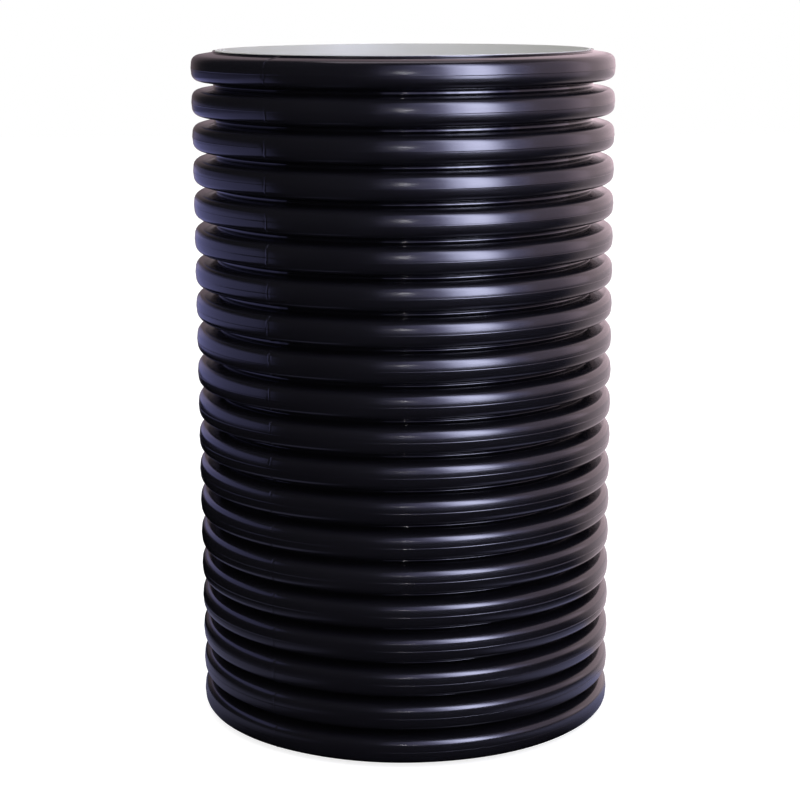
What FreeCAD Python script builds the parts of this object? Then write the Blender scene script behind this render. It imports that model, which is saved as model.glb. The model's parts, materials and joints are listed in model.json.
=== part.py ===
import FreeCAD, Part
import math
import os

os.makedirs("parts", exist_ok=True)

# Twin-wall corrugated pipe, cut to length, standing on its cut end.
# Axis along +Z, origin at the centre of the bottom end. Millimetres and degrees.

# Overall size
outer_diameter = 315.0      # over the crests
crest_count = 20            # corrugations in the cut length
pitch = 25.2                # from crest to crest

# Corrugation, outside shape
corrugation_height = 16.5   # from valley floor to crest top
valley_width = 2.6          # between the feet of two crests
flank_draft = 9.0           # lean of each flank from square to the axis
crown_slope = 11.0          # fall of the crest's crown where its shoulders begin
shoulder_radius = 6.0       # outside corner of the crest
valley_radius = 1.0         # inside corner of the valley

# Walls
outer_wall = 1.9            # black corrugated layer
inner_wall = 1.6            # light smooth layer
weld_gap = 0.0              # the layers are welded at every valley

# Derived sizes
length = pitch * crest_count
foot_half = (pitch - valley_width) / 2
crest_r = outer_diameter / 2
valley_r = crest_r - corrugation_height
weld_r = valley_r - outer_wall
bore_r = weld_r - weld_gap - inner_wall

tan_draft = math.tan(math.radians(flank_draft))
cos_draft = math.cos(math.radians(flank_draft))
sin_draft = math.sin(math.radians(flank_draft))
tan_slope = math.tan(math.radians(crown_slope))
cos_slope = math.cos(math.radians(crown_slope))
sin_slope = math.sin(math.radians(crown_slope))

# The crown is one arc from shoulder to shoulder, so its radius follows from the crest's width
crown_width = foot_half - corrugation_height * tan_draft
crown_shift = sin_slope - cos_draft + (cos_slope - sin_draft) * tan_draft
crown_spread = sin_slope - (1 - cos_slope) * tan_draft
crown_radius = (crown_width + shoulder_radius * crown_shift) / crown_spread

FULL_TURN = 360
SHORTEST_RUN = 1e-6         # arcs closer than this meet with no straight run between them
AXIS_POINT = FreeCAD.Vector(0, 0, 0)
AXIS = FreeCAD.Vector(0, 0, 1)


def point(r, z):
    """Point of the half section at radius r and height z."""
    return FreeCAD.Vector(r, 0, z)


def straight(start, end):
    """A straight run as a list of edges, empty where the two ends meet."""
    if (end - start).Length < SHORTEST_RUN:
        return []
    return [Part.LineSegment(start, end).toShape()]


def rounding(before, corner, after, radius):
    """Start, middle and end of the arc that rounds a corner of the section."""
    toward = (before - corner).normalize()
    away = (after - corner).normalize()
    half_angle = toward.getAngle(away) / 2
    reach = radius / math.tan(half_angle)
    bisector = (toward + away).normalize()
    centre = corner + bisector * (radius / math.sin(half_angle))
    return corner + toward * reach, centre - bisector * radius, corner + away * reach


def section_edges(corners):
    """Straight runs and tangent arcs through (point, radius) corners, ends included."""
    edges = []
    last = corners[0][0]
    for (before, _), (corner, radius), (after, _) in zip(corners, corners[1:], corners[2:]):
        if radius == 0:
            edges += straight(last, corner)
            last = corner
            continue
        start, middle, end = rounding(before, corner, after, radius)
        edges += straight(last, start)
        edges.append(Part.Arc(start, middle, end).toShape())
        last = end
    return edges + straight(last, corners[-1][0])


def flank_half_width(r, inset):
    """Half width of a crest at radius r, its surface moved inwards by inset."""
    return foot_half - (r - valley_r) * tan_draft - inset / cos_draft


def crest_corners(mid_z, foot_r, foot_radius, inset):
    """Corners of one crest, its surface moved inwards by inset."""
    peak_r = crest_r + crown_radius * (1 / cos_slope - 1) - inset / cos_slope
    shoulder_half = flank_half_width(peak_r, inset) / (1 - tan_slope * tan_draft)
    shoulder_r = peak_r - shoulder_half * tan_slope
    foot_z = flank_half_width(foot_r, inset)
    return [
        (point(foot_r, mid_z - foot_z), foot_radius),
        (point(shoulder_r, mid_z - shoulder_half), shoulder_radius - inset),
        (point(peak_r, mid_z), crown_radius - inset),
        (point(shoulder_r, mid_z + shoulder_half), shoulder_radius - inset),
        (point(foot_r, mid_z + foot_z), foot_radius),
    ]


def wave(foot_r, foot_radius, inset):
    """Corners of the whole row of crests, from the bottom end to the top end."""
    corners = [(point(foot_r, 0), 0)]
    for index in range(crest_count):
        mid_z = (index + 1 / 2) * pitch
        corners.extend(crest_corners(mid_z, foot_r, foot_radius, inset))
    corners.append((point(foot_r, length), 0))
    return corners


def turned(edges):
    """Solid made by turning a closed half section about the pipe's axis."""
    face = Part.Face(Part.Wire(Part.__sortEdges__(edges)))
    return face.revolve(AXIS_POINT, AXIS, FULL_TURN)


def corrugated_outer_wall():
    """Black skin: an even wall around hollow crests, with a foot welded on at every valley."""
    outside = section_edges(wave(valley_r, valley_radius, 0))
    inside = section_edges(wave(weld_r, 0, outer_wall))
    bottom = straight(point(weld_r, 0), point(valley_r, 0))
    top = straight(point(weld_r, length), point(valley_r, length))
    return turned(outside + inside + bottom + top)


def smooth_inner_wall():
    """Light grey lining, a plain tube that closes the crests from inside."""
    outside = Part.makeCylinder(weld_r - weld_gap, length)
    return outside.cut(Part.makeCylinder(bore_r, length))


def main():
    nodes = {
        "corrugated_outer_wall": corrugated_outer_wall(),
        "smooth_inner_wall": smooth_inner_wall(),
    }
    for name, shape in nodes.items():
        shape.exportStep(f"parts/{name}.step")


main()
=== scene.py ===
"""Looks of a length of twin-wall corrugated pipe, standing on its cut end. Metres, same frame as the CAD."""
import json
import math
import random

import bpy
import numpy as np
from mathutils import Matrix, Vector


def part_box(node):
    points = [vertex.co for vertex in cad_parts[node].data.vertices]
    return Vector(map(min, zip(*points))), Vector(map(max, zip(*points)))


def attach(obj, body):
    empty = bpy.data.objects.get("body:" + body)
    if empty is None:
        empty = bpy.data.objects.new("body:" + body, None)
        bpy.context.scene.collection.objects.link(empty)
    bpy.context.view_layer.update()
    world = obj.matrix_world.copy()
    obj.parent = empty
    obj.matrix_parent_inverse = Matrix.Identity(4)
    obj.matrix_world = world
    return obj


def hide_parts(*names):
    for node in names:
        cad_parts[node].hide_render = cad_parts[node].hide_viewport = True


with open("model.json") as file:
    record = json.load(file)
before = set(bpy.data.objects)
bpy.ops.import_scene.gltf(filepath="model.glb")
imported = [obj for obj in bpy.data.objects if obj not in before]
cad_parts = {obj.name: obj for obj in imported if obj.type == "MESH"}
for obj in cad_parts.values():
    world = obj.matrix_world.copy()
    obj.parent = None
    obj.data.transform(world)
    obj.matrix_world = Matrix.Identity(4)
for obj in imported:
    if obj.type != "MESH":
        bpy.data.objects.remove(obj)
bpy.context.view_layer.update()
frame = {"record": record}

MM = 0.001

# Sizes that the frame gives
skin_low, skin_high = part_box("corrugated_outer_wall")
lining_low, lining_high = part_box("smooth_inner_wall")
BORE_RADIUS = next(m for m in frame["record"]["mounts"] if m["name"] == "bore")["dims"]["r_mm"] * MM
LENGTH = skin_high.z
TOP = skin_high.z

# Shape of the corrugation, the same values as the CAD
CRESTS = 20
CREST_RADIUS = 157.5 * MM
CREST_HEIGHT = 16.5 * MM
VALLEY_WIDTH = 2.6 * MM
FLANK_DRAFT = math.radians(9)
CROWN_SLOPE = math.radians(11)
SHOULDER_RADIUS = 6.0 * MM
VALLEY_FILLET = 1.0 * MM
OUTER_WALL = 1.9 * MM
PITCH = LENGTH / CRESTS
VALLEY_RADIUS = CREST_RADIUS - CREST_HEIGHT
WELD_RADIUS = VALLEY_RADIUS - OUTER_WALL
CUT_EDGE = 0.25 * MM            # rounding that the saw and the deburring knife leave
SKIN_SHORT = 0.6 * MM           # the skin is trimmed back this much at the top, so the lining's edge shows
VALLEY_HOLLOW = math.radians(9) # tilt of the valley floor's two edges
WITNESS_DROP = 0.4 * MM         # a fine raised line round each crest lies this far below its middle
WITNESS_HALF = 0.4 * MM

# Mould parting lines: two, opposite each other, where the two halves of the mould meet
PARTING_ANGLES = (math.radians(232.5), math.radians(52.5))
PARTING_REACH = 3.2 * MM        # half width of the strip that has fine columns
PARTING_COLUMNS = 20
PLAIN_COLUMNS = 232


# ---------------------------------------------------------------- section

def arc(centre, radius, start, end, steps):
    """Points and outward normals of an arc in the (r, z) section, ends included."""
    rows = []
    for k in range(steps + 1):
        a = start + (end - start) * k / steps
        n = (math.cos(a), math.sin(a))
        rows.append((centre[0] + radius * n[0], centre[1] + radius * n[1], n[0], n[1]))
    return rows


def crown_radius():
    """The crown is one arc from shoulder to shoulder, so its radius follows from the crest's width."""
    foot = (PITCH - VALLEY_WIDTH) / 2
    tan_d, cos_d, sin_d = math.tan(FLANK_DRAFT), math.cos(FLANK_DRAFT), math.sin(FLANK_DRAFT)
    sin_s, cos_s = math.sin(CROWN_SLOPE), math.cos(CROWN_SLOPE)
    width = foot - CREST_HEIGHT * tan_d
    shift = sin_s - cos_d + (cos_s - sin_d) * tan_d
    return (width + SHOULDER_RADIUS * shift) / (sin_s - (1 - cos_s) * tan_d)


def half_crest():
    """Rows (r, z, nr, nz) from the crest's top down its lower side to the valley floor, z measured from its middle."""
    crown = crown_radius()
    cr, cz = CREST_RADIUS - crown, 0.0
    rows = arc((cr, cz), crown, 0, -CROWN_SLOPE, 1)
    sr = cr + (crown - SHOULDER_RADIUS) * math.cos(CROWN_SLOPE)
    sz = -(crown - SHOULDER_RADIUS) * math.sin(CROWN_SLOPE)
    flank = math.pi / 2 - FLANK_DRAFT
    rows += arc((sr, sz), SHOULDER_RADIUS, -CROWN_SLOPE, -flank, 4)[1:]
    fillet_r = VALLEY_RADIUS + VALLEY_FILLET
    run = (rows[-1][0] - (fillet_r - VALLEY_FILLET * math.cos(flank))) * math.tan(FLANK_DRAFT)
    foot_z = rows[-1][1] - run
    fillet_z = foot_z - VALLEY_FILLET * math.sin(flank)
    hollow = arc((fillet_r, fillet_z), VALLEY_FILLET, math.pi - flank, math.pi, 2)
    rows += [(r, z, -nr, -nz) for r, z, nr, nz in hollow[:-1]]
    tilt = VALLEY_HOLLOW
    rows.append((VALLEY_RADIUS, hollow[-1][1], math.cos(tilt), -math.sin(tilt)))
    return rows


def skin_rows():
    """The closed section of the black skin: outside from bottom to top, then the weld side back down."""
    lower = half_crest()
    upper = [(r, -z, nr, -nz) for r, z, nr, nz in lower]
    rows = cut_edge(VALLEY_RADIUS, 0.0, 1)
    for k in range(CRESTS):
        mid = (k + 0.5) * PITCH
        rows += [(r, mid + z, nr, nz) for r, z, nr, nz in reversed(lower[1:])]
        rows += [(r, mid + z, nr, nz) for r, z, nr, nz in upper]
    end = LENGTH - SKIN_SHORT
    rows += [(r, end - z, nr, -nz) for r, z, nr, nz in reversed(cut_edge(VALLEY_RADIUS, 0.0, 1))]
    rows += [(WELD_RADIUS, end, 0, 1), (WELD_RADIUS, end, -1, 0)]
    rows += [(WELD_RADIUS, 0, -1, 0), (WELD_RADIUS, 0, 0, -1)]
    return rows


def cut_edge(radius, z, side):
    """Rounded edge of the bottom cut end, on the outside of a wall for side 1 and on the bore side for -1."""
    centre = (radius - side * CUT_EDGE, z + CUT_EDGE)
    rows = []
    for k in range(3):
        a = -math.pi / 2 + k * math.pi / 4
        n = (side * math.cos(a), math.sin(a))
        rows.append((centre[0] + CUT_EDGE * n[0], centre[1] + CUT_EDGE * n[1], n[0], n[1]))
    return rows


def lining_rows():
    """The closed section of the light lining: bore side from top to bottom, then the weld side up."""
    bottom = cut_edge(BORE_RADIUS, 0.0, -1)
    top = [(r, LENGTH - z, nr, -nz) for r, z, nr, nz in bottom]
    rows = [(WELD_RADIUS, 0, 0, -1)] + bottom
    steps = CRESTS * 4
    for k in range(1, steps):
        rows.append((BORE_RADIUS, LENGTH * k / steps, -1, 0))
    rows += list(reversed(top)) + [(WELD_RADIUS, LENGTH, 0, 1)]
    rows += [(WELD_RADIUS, LENGTH, 1, 0), (WELD_RADIUS, 0, 1, 0)]
    return rows[::-1]


# ---------------------------------------------------------------- meshes

def column_angles():
    """Angles of the columns, evenly spread, with finer ones across each parting line."""
    reach = PARTING_REACH / CREST_RADIUS
    angles = []
    for middle in PARTING_ANGLES:
        for k in range(PARTING_COLUMNS + 1):
            t = 2 * k / PARTING_COLUMNS - 1
            angles.append(middle + reach * math.copysign(abs(t) ** 1.4, t))
    gap = math.pi - 2 * reach
    plain = PLAIN_COLUMNS // 2
    for middle in PARTING_ANGLES:
        for k in range(1, plain):
            angles.append(middle + reach + gap * k / plain)
    return np.array(sorted(a % math.tau for a in angles))


def parting_relief(angles, rows):
    """Height of the flash line and its small dents, per row and column, in metres."""
    rng = random.Random(7)
    r, z = rows[:, 0], rows[:, 1]
    height = np.zeros((len(rows), len(angles)))
    for middle in PARTING_ANGLES:
        across = (angles - middle + math.pi) % math.tau - math.pi
        for k in range(CRESTS):
            mid = (k + 0.5) * PITCH
            wander = rng.uniform(-0.5, 0.5) * MM
            swing = rng.uniform(0.3, 1.1) * MM
            phase = rng.uniform(0, math.tau)
            ridge = rng.uniform(0.25, 0.55) * MM
            dent = rng.choice((0.0, 0.12, 0.25, 0.45)) * MM
            dent_z = mid + rng.uniform(-2, 5) * MM
            dent_side = rng.choice((-1, 1)) * rng.uniform(0.6, 1.3) * MM
            own = np.abs(z - mid) <= PITCH / 2
            faces_out = own & (r > VALLEY_RADIUS + 0.5 * MM)
            line = wander + swing * np.sin(phase + (z - mid) * 520)
            x = across[None, :] * r[:, None] - line[:, None]
            shape = ridge * np.exp(-(x / (0.5 * MM)) ** 2)
            x2 = across[None, :] * r[:, None] - dent_side
            shape -= dent * np.exp(-(x2 / (0.8 * MM)) ** 2 - ((z[:, None] - dent_z) / (3.5 * MM)) ** 2)
            height += np.where(faces_out[:, None], shape, 0)
    return height


def waviness(angles, rows):
    """Slow unevenness of the extruded wall, in metres."""
    rng = random.Random(19)
    z = rows[:, 1][:, None]
    total = np.zeros((len(rows), len(angles)))
    for _ in range(10):
        turns = rng.randint(2, 11)
        rise = rng.uniform(-40, 40)
        phase = rng.uniform(0, math.tau)
        total += rng.uniform(0.008, 0.025) * MM * np.sin(turns * angles[None, :] + rise * z + phase)
    return total - total.max() - 0.06 * MM


def turned_mesh(name, rows, angles, height):
    """A closed mesh from a section's rows, turned about the axis, each point moved out by its height."""
    rows = np.array(rows)
    count, columns = len(rows), len(angles)
    r, z, nr, nz = (rows[:, i][:, None] for i in range(4))
    c, s = np.cos(angles)[None, :], np.sin(angles)[None, :]
    out_r, out_z = r + height * nr, z + height * nz
    points = np.stack([out_r * c, out_r * s, out_z + 0 * c], -1).reshape(-1, 3)
    step = np.gradient(height, axis=1) / np.gradient(np.unwrap(angles))[None, :] / r
    along = np.hypot(np.gradient(rows[:, 0]), np.gradient(rows[:, 1]))[:, None]
    climb = np.gradient(height, axis=0) / np.maximum(along, 0.2 * MM)
    normal_r = nr + climb * nz
    normal_z = nz - climb * nr
    normals = np.stack([normal_r * c + step * s, normal_r * s - step * c, normal_z + 0 * c], -1).reshape(-1, 3)
    normals /= np.linalg.norm(normals, axis=1)[:, None]
    i = np.arange(count)[:, None] * columns
    j = np.arange(columns)[None, :]
    up = (np.arange(count)[:, None] + 1) % count * columns
    right = (j + 1) % columns
    quads = np.stack([i + j, i + right, up + right, up + j], -1).reshape(-1, 4)
    mesh = bpy.data.meshes.new(name)
    mesh.from_pydata(points.tolist(), [], quads.tolist())
    mesh.polygons.foreach_set("use_smooth", [True] * len(mesh.polygons))
    mesh.normals_split_custom_set_from_vertices(normals.tolist())
    piece = bpy.data.objects.new(name, mesh)
    bpy.context.scene.collection.objects.link(piece)
    return piece


def make_skin(angles):
    rows = skin_rows()
    table = np.array(rows)
    outside = (table[:, 0] > VALLEY_RADIUS + 0.2 * MM)[:, None]
    height = np.where(outside, parting_relief(angles, table) + waviness(angles, table) * 1.0, 0)
    return turned_mesh("ribbed_skin", rows, angles, height)


def make_lining(angles):
    rows = lining_rows()
    table = np.array(rows)
    inside = (table[:, 0] < BORE_RADIUS + 0.01 * MM) & (table[:, 1] > MM) & (table[:, 1] < LENGTH - MM)
    ripple = 0.06 * MM * (1 + np.cos(table[:, 1] / PITCH * math.tau))[:, None]
    height = np.where(inside[:, None], -ripple, 0) + 0 * angles[None, :]
    return turned_mesh("smooth_lining", rows, angles, height)


# ---------------------------------------------------------------- materials

def node_material(name):
    mat = bpy.data.materials.new(name)
    mat.use_nodes = True
    nodes = mat.node_tree.nodes
    nodes.clear()
    output = nodes.new("ShaderNodeOutputMaterial")
    shader = nodes.new("ShaderNodeBsdfPrincipled")
    mat.node_tree.links.new(shader.outputs[0], output.inputs["Surface"])
    return mat, mat.node_tree, shader


def node(tree, kind, **values):
    made = tree.nodes.new(kind)
    for key, value in values.items():
        setattr(made, key, value)
    return made


def stretched_noise(tree, scale, detail, roughness=0.5):
    """Noise in object space, squeezed or drawn out by scale along X, Y and Z."""
    coords = node(tree, "ShaderNodeTexCoord")
    mapping = node(tree, "ShaderNodeMapping")
    mapping.inputs["Scale"].default_value = scale
    noise = node(tree, "ShaderNodeTexNoise")
    noise.inputs["Scale"].default_value = 1.0
    noise.inputs["Detail"].default_value = detail
    noise.inputs["Roughness"].default_value = roughness
    tree.links.new(coords.outputs["Object"], mapping.inputs["Vector"])
    tree.links.new(mapping.outputs[0], noise.inputs["Vector"])
    return noise


def ramp(tree, source, stops):
    made = node(tree, "ShaderNodeValToRGB")
    elements = made.color_ramp.elements
    while len(elements) > 1:
        elements.remove(elements[-1])
    elements[0].position, elements[0].color = stops[0]
    for position, colour in stops[1:]:
        elements.new(position).color = colour
    tree.links.new(source, made.inputs["Fac"])
    return made


def grey(value):
    return (value, value, value, 1)


def bump(tree, source, strength, distance, previous=None):
    made = node(tree, "ShaderNodeBump")
    made.inputs["Strength"].default_value = strength
    made.inputs["Distance"].default_value = distance
    tree.links.new(source, made.inputs["Height"])
    if previous is not None:
        tree.links.new(previous.outputs[0], made.inputs["Normal"])
    return made


def witness_line(tree):
    """1 on the fine line that the mould leaves round each crest, fading to 0 on both sides."""
    coords = node(tree, "ShaderNodeTexCoord")
    parts = node(tree, "ShaderNodeSeparateXYZ")
    tree.links.new(coords.outputs["Object"], parts.inputs[0])
    share = maths(tree, "FRACT", maths(tree, "DIVIDE", parts.outputs["Z"], PITCH))
    middle = 0.5 - WITNESS_DROP / PITCH
    half = WITNESS_HALF / PITCH
    line = ramp(tree, share, [(middle - half, grey(0)), (middle, grey(1)), (middle + half, grey(0))])
    return line.outputs[0]


def black_plastic():
    """Satin black polyethylene: smooth in the valleys, dulled on the crests by handling, fine drawn lines round it."""
    mat, tree, shader = node_material("black_plastic")
    blotch = stretched_noise(tree, (9, 9, 14), 3)
    colour = ramp(tree, blotch.outputs["Fac"], [(0.3, (0.0050, 0.0047, 0.0070, 1)), (0.7, (0.0070, 0.0067, 0.0094, 1))])
    tree.links.new(colour.outputs[0], shader.inputs["Base Color"])
    scuff = stretched_noise(tree, (25, 25, 1600), 4, 0.6)
    rough = ramp(tree, scuff.outputs["Fac"], [(0.3, grey(0.17)), (0.75, grey(0.25))])
    coords = node(tree, "ShaderNodeTexCoord")
    flat = node(tree, "ShaderNodeVectorMath", operation="MULTIPLY")
    flat.inputs[1].default_value = (1, 1, 0)
    radius = node(tree, "ShaderNodeVectorMath", operation="LENGTH")
    tree.links.new(coords.outputs["Object"], flat.inputs[0])
    tree.links.new(flat.outputs[0], radius.inputs[0])
    handled = eased(tree, radius.outputs["Value"], VALLEY_RADIUS + 2 * MM, CREST_RADIUS - 3 * MM)
    share = maths(tree, "ADD", maths(tree, "MULTIPLY", handled, 0.68), 0.32)
    tree.links.new(maths(tree, "MULTIPLY", rough.outputs[0], share), shader.inputs["Roughness"])
    streaks = stretched_noise(tree, (4, 4, 800), 3)
    lines = stretched_noise(tree, (6, 6, 2600), 2)
    peel = stretched_noise(tree, (260, 260, 420), 2)
    relief = bump(tree, witness_line(tree), 1.0, 0.00012)
    relief = bump(tree, streaks.outputs["Fac"], 0.4, 0.00007, relief)
    relief = bump(tree, lines.outputs["Fac"], 0.25, 0.00003, relief)
    relief = bump(tree, peel.outputs["Fac"], 0.2, 0.00006, relief)
    tree.links.new(relief.outputs[0], shader.inputs["Normal"])
    shader.inputs["IOR"].default_value = 1.5
    return mat


def grey_plastic():
    """Light grey polyethylene lining: soft die lines along the bore, a little mottle."""
    mat, tree, shader = node_material("grey_plastic")
    mottle = stretched_noise(tree, (14, 14, 5), 4)
    colour = ramp(tree, mottle.outputs["Fac"], [(0.3, (0.64, 0.64, 0.61, 1)), (0.7, (0.69, 0.69, 0.66, 1))])
    tree.links.new(colour.outputs[0], shader.inputs["Base Color"])
    die = stretched_noise(tree, (420, 420, 1.2), 3)
    rough = ramp(tree, die.outputs["Fac"], [(0.3, grey(0.38)), (0.7, grey(0.5))])
    tree.links.new(rough.outputs[0], shader.inputs["Roughness"])
    first = bump(tree, die.outputs["Fac"], 0.25, 0.00008)
    tree.links.new(first.outputs[0], shader.inputs["Normal"])
    shader.inputs["IOR"].default_value = 1.5
    return mat


# ---------------------------------------------------------------- stage

def eased(tree, source, low, high):
    """0 below low, 1 above high, smooth between."""
    made = node(tree, "ShaderNodeMapRange", interpolation_type="SMOOTHSTEP")
    made.inputs["From Min"].default_value = low
    made.inputs["From Max"].default_value = high
    tree.links.new(source, made.inputs["Value"])
    return made.outputs[0]


def maths(tree, operation, first, second=None):
    made = node(tree, "ShaderNodeMath", operation=operation)
    for slot, value in enumerate((first, second)):
        if isinstance(value, (int, float)):
            made.inputs[slot].default_value = value
        elif value is not None:
            tree.links.new(value, made.inputs[slot])
    return made.outputs[0]


def painted_floor_glow(tree):
    """What the pipe's own reflections find on the floor, a painted reflection: the floor glows white behind the pipe
    like a lit sweep and pale beside the foot, brighter on the right, and does not glow in front, a painted shade.
    """
    coords = node(tree, "ShaderNodeTexCoord")
    direction = node(tree, "ShaderNodeVectorMath", operation="NORMALIZE")
    behind = node(tree, "ShaderNodeVectorMath", operation="DOT_PRODUCT")
    behind.inputs[1].default_value = (0.50, 0.87, 0.0)
    reach = node(tree, "ShaderNodeVectorMath", operation="LENGTH")
    parts = node(tree, "ShaderNodeSeparateXYZ")
    tree.links.new(coords.outputs["Object"], direction.inputs[0])
    tree.links.new(direction.outputs[0], behind.inputs[0])
    tree.links.new(coords.outputs["Object"], reach.inputs[0])
    tree.links.new(coords.outputs["Object"], parts.inputs[0])
    # Painted reflection: the floor glows white behind the pipe, as a lit sweep would show in the pipe.
    sweep = maths(tree, "MULTIPLY", eased(tree, behind.outputs["Value"], 0.48, 0.95), 1.05)
    # Painted reflection: a pale glow on the floor beside the foot, brighter on the right side; straight in front of the
    # foot nothing glows, a painted shade.
    beside = eased(tree, maths(tree, "ABSOLUTE", parts.outputs["X"]), 0.12, 0.21)
    near = maths(tree, "SUBTRACT", 1.0, eased(tree, reach.outputs["Value"], 0.25, 0.37))
    right = maths(tree, "ADD", maths(tree, "MULTIPLY", eased(tree, parts.outputs["X"], -0.1, 0.1), 0.55), 0.4)
    glow_beside_foot = maths(tree, "MULTIPLY", maths(tree, "MULTIPLY", beside, near), right)
    tint = ramp(tree, sweep, [(0.0, (0.60, 0.60, 1.0, 1)), (0.4, (0.92, 0.76, 0.84, 1))])
    return maths(tree, "MAXIMUM", sweep, glow_beside_foot), tint.outputs[0]


def make_floor():
    """A pale floor. The camera sees it as a white sweep that keeps the pipe's soft shadow. Reflections see a painted
    glow on it instead: bright behind and beside the foot, none in front.
    """
    mesh = bpy.data.meshes.new("floor")
    half = 6.0
    mesh.from_pydata([(-half, -half, 0), (half, -half, 0), (half, half, 0), (-half, half, 0)], [], [(0, 1, 2, 3)])
    floor = bpy.data.objects.new("floor", mesh)
    bpy.context.scene.collection.objects.link(floor)
    mat = bpy.data.materials.new("floor")
    mat.use_nodes = True
    tree = mat.node_tree
    tree.nodes.clear()
    output = node(tree, "ShaderNodeOutputMaterial")
    path = node(tree, "ShaderNodeLightPath")
    dull = node(tree, "ShaderNodeBsdfDiffuse")
    dull.inputs["Color"].default_value = grey(0.3)
    # Painted reflection: for glossy rays the floor shows this glow instead of lamp light. It is bright behind and
    # beside the foot and dark in front, a painted shade.
    reflected = node(tree, "ShaderNodeEmission")
    brightness, tint = painted_floor_glow(tree)
    tree.links.new(brightness, reflected.inputs["Strength"])
    tree.links.new(tint, reflected.inputs["Color"])
    lit = node(tree, "ShaderNodeBsdfDiffuse")
    lit.inputs["Color"].default_value = grey(0.5)
    glow = node(tree, "ShaderNodeEmission")
    glow.inputs["Color"].default_value = grey(0.8)
    both = node(tree, "ShaderNodeAddShader")
    glossy_pick = node(tree, "ShaderNodeMixShader")
    camera_pick = node(tree, "ShaderNodeMixShader")
    tree.links.new(lit.outputs[0], both.inputs[0])
    tree.links.new(glow.outputs[0], both.inputs[1])
    tree.links.new(path.outputs["Is Glossy Ray"], glossy_pick.inputs["Fac"])
    tree.links.new(dull.outputs[0], glossy_pick.inputs[1])
    tree.links.new(reflected.outputs[0], glossy_pick.inputs[2])
    tree.links.new(path.outputs["Is Camera Ray"], camera_pick.inputs["Fac"])
    tree.links.new(glossy_pick.outputs[0], camera_pick.inputs[1])
    tree.links.new(both.outputs[0], camera_pick.inputs[2])
    tree.links.new(camera_pick.outputs[0], output.inputs["Surface"])
    mesh.materials.append(mat)
    return floor


def make_world():
    """White where the camera looks past the pipe. Reflections find a white sweep behind and a dim room in front."""
    world = bpy.data.worlds.new("studio")
    bpy.context.scene.world = world
    world.use_nodes = True
    tree = world.node_tree
    tree.nodes.clear()
    output = node(tree, "ShaderNodeOutputWorld")
    path = node(tree, "ShaderNodeLightPath")
    coords = node(tree, "ShaderNodeTexCoord")
    toward = node(tree, "ShaderNodeVectorMath", operation="DOT_PRODUCT")
    sweep = math.radians(50)        # the sweep's middle, measured from +X towards +Y
    toward.inputs[1].default_value = (math.cos(sweep), math.sin(sweep), 0.0)
    tree.links.new(coords.outputs["Generated"], toward.inputs[0])
    room = ramp(tree, toward.outputs["Value"], [
        (0.0, (0.01, 0.01, 0.012, 1)), (0.2, (0.03, 0.026, 0.03, 1)), (0.45, (0.14, 0.11, 0.12, 1)),
        (0.70, (0.20, 0.155, 0.175, 1)), (0.88, (0.92, 0.71, 0.78, 1)), (1.0, (1.0, 0.79, 0.86, 1))])
    reflected = node(tree, "ShaderNodeBackground")
    reflected.inputs["Strength"].default_value = 1.4
    tree.links.new(room.outputs[0], reflected.inputs["Color"])
    seen = node(tree, "ShaderNodeBackground")
    seen.inputs["Color"].default_value = grey(1.0)
    soft = node(tree, "ShaderNodeBackground")
    soft.inputs["Color"].default_value = grey(0.85)
    diffuse_pick = node(tree, "ShaderNodeMixShader")
    camera_pick = node(tree, "ShaderNodeMixShader")
    tree.links.new(path.outputs["Is Glossy Ray"], diffuse_pick.inputs["Fac"])
    tree.links.new(soft.outputs[0], diffuse_pick.inputs[1])
    tree.links.new(reflected.outputs[0], diffuse_pick.inputs[2])
    tree.links.new(path.outputs["Is Camera Ray"], camera_pick.inputs["Fac"])
    tree.links.new(diffuse_pick.outputs[0], camera_pick.inputs[1])
    tree.links.new(seen.outputs[0], camera_pick.inputs[2])
    tree.links.new(camera_pick.outputs[0], output.inputs["Surface"])


def panel(name, azimuth, distance, width, low, high, radiance, colour):
    """An upright soft light facing the pipe's axis, between two heights above the floor.

    Azimuth 0 is on the camera's side, positive to the right, in degrees.
    """
    data = bpy.data.lights.new(name, "AREA")
    data.shape = "RECTANGLE"
    data.size, data.size_y = width, high - low
    data.energy = radiance * math.pi * width * (high - low)
    data.color = colour
    lamp = bpy.data.objects.new(name, data)
    bpy.context.scene.collection.objects.link(lamp)
    a = math.radians(azimuth)
    away = Vector((math.sin(a), -math.cos(a), 0))
    lamp.location = away * distance + Vector((0, 0, (low + high) / 2))
    lamp.rotation_euler = (-away).to_track_quat("-Z", "Y").to_euler()
    lamp.visible_camera = False
    return lamp


def only_reflected(lamp):
    lamp.visible_diffuse = False
    return lamp


def overhead(name, height, forward, width, radiance, colour):
    """A square soft light facing straight down, its middle moved by forward towards the camera's side."""
    data = bpy.data.lights.new(name, "AREA")
    data.shape = "SQUARE"
    data.size = width
    data.energy = radiance * math.pi * width * width
    data.color = colour
    lamp = bpy.data.objects.new(name, data)
    bpy.context.scene.collection.objects.link(lamp)
    lamp.location = (0, -forward, height)
    lamp.visible_camera = False
    return lamp


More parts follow.
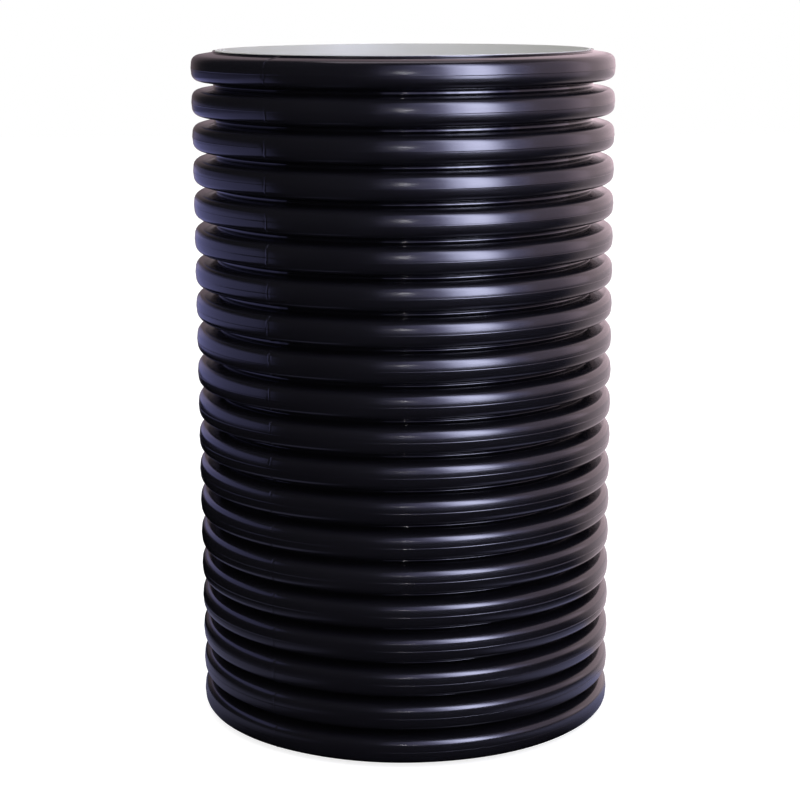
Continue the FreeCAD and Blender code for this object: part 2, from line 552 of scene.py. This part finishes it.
def make_lights():
    """A tall window to the right of the camera, brightest in its middle, dim surroundings and a small flash."""
    only_reflected(panel("window_middle", 37, 1.05, 0.24, 0.30, 1.20, 6.5, (0.76, 0.79, 1.0)))
    only_reflected(panel("window_pane", 36, 1.07, 0.46, 0.29, 1.80, 5.6, (0.70, 0.73, 1.0)))
    only_reflected(panel("window_tall", 36, 1.08, 0.56, 0.28, 2.40, 2.8, (0.68, 0.71, 1.0)))
    panel("window", 36, 1.09, 0.68, 0.28, 1.30, 2.2, (0.66, 0.68, 1.0))
    only_reflected(panel("curtain", 36, 1.12, 0.95, 0.27, 2.4, 0.9, (0.60, 0.59, 1.0)))
    only_reflected(panel("curtain_edge", 33, 1.15, 1.45, 0.27, 2.4, 0.8, (0.58, 0.56, 1.0)))
    only_reflected(panel("wall_front", 29, 1.22, 2.1, 0.27, 2.4, 0.6, (0.58, 0.56, 1.0)))
    only_reflected(panel("low_left", -107, 0.42, 0.75, 0.20, 0.40, 0.42, (0.46, 0.47, 1.0)))
    only_reflected(panel("low_left_edge", -107, 0.45, 0.65, 0.19, 0.46, 0.26, (0.44, 0.44, 1.0)))
    only_reflected(panel("wall_right", 88, 1.30, 1.2, 0.22, 1.8, 0.75, (0.92, 0.75, 1.0)))
    only_reflected(panel("flash", 0.5, 1.9, 0.03, 0.63, 0.66, 420.0, (1.0, 0.98, 1.0)))
    overhead("ceiling", 2.0, -0.5, 1.0, 1.5, (0.97, 0.86, 1.0))
    key = panel("key", 28, 1.7, 1.3, 1.3, 2.1, 2.2, (1.0, 0.98, 0.94))
    key.visible_glossy = False


def make_camera():
    """Level with the rim and looking a little down, at the distance that gives the pipe its taper."""
    away, above = 9.70 * CREST_RADIUS, 0.3015 * CREST_RADIUS
    down, yaw, roll = 0.2024, -0.0022, -0.0044
    focal_share = 2029.4 / 800
    forward = Vector((math.sin(yaw) * math.cos(down), math.cos(yaw) * math.cos(down), -math.sin(down)))
    level = Vector((math.cos(yaw), -math.sin(yaw), 0))
    upward = level.cross(forward)
    right = level * math.cos(roll) + upward * math.sin(roll)
    up = upward * math.cos(roll) - level * math.sin(roll)
    data = bpy.data.cameras.new("camera")
    data.sensor_width = 36
    data.lens = focal_share * data.sensor_width
    camera = bpy.data.objects.new("camera", data)
    bpy.context.scene.collection.objects.link(camera)
    axes = Matrix((right, up, -forward)).transposed()
    camera.matrix_world = Matrix.Translation((0, -away, TOP + above)) @ axes.to_4x4()
    bpy.context.scene.camera = camera


def finish_piece(piece, cad_node, material):
    piece.data.materials.append(material)
    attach(piece, "root")
    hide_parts(cad_node)


def main():
    bpy.context.scene.view_settings.view_transform = "Standard"
    angles = column_angles()
    finish_piece(make_skin(angles), "corrugated_outer_wall", black_plastic())
    finish_piece(make_lining(angles), "smooth_inner_wall", grey_plastic())
    make_floor()
    make_world()
    make_lights()
    make_camera()


main()
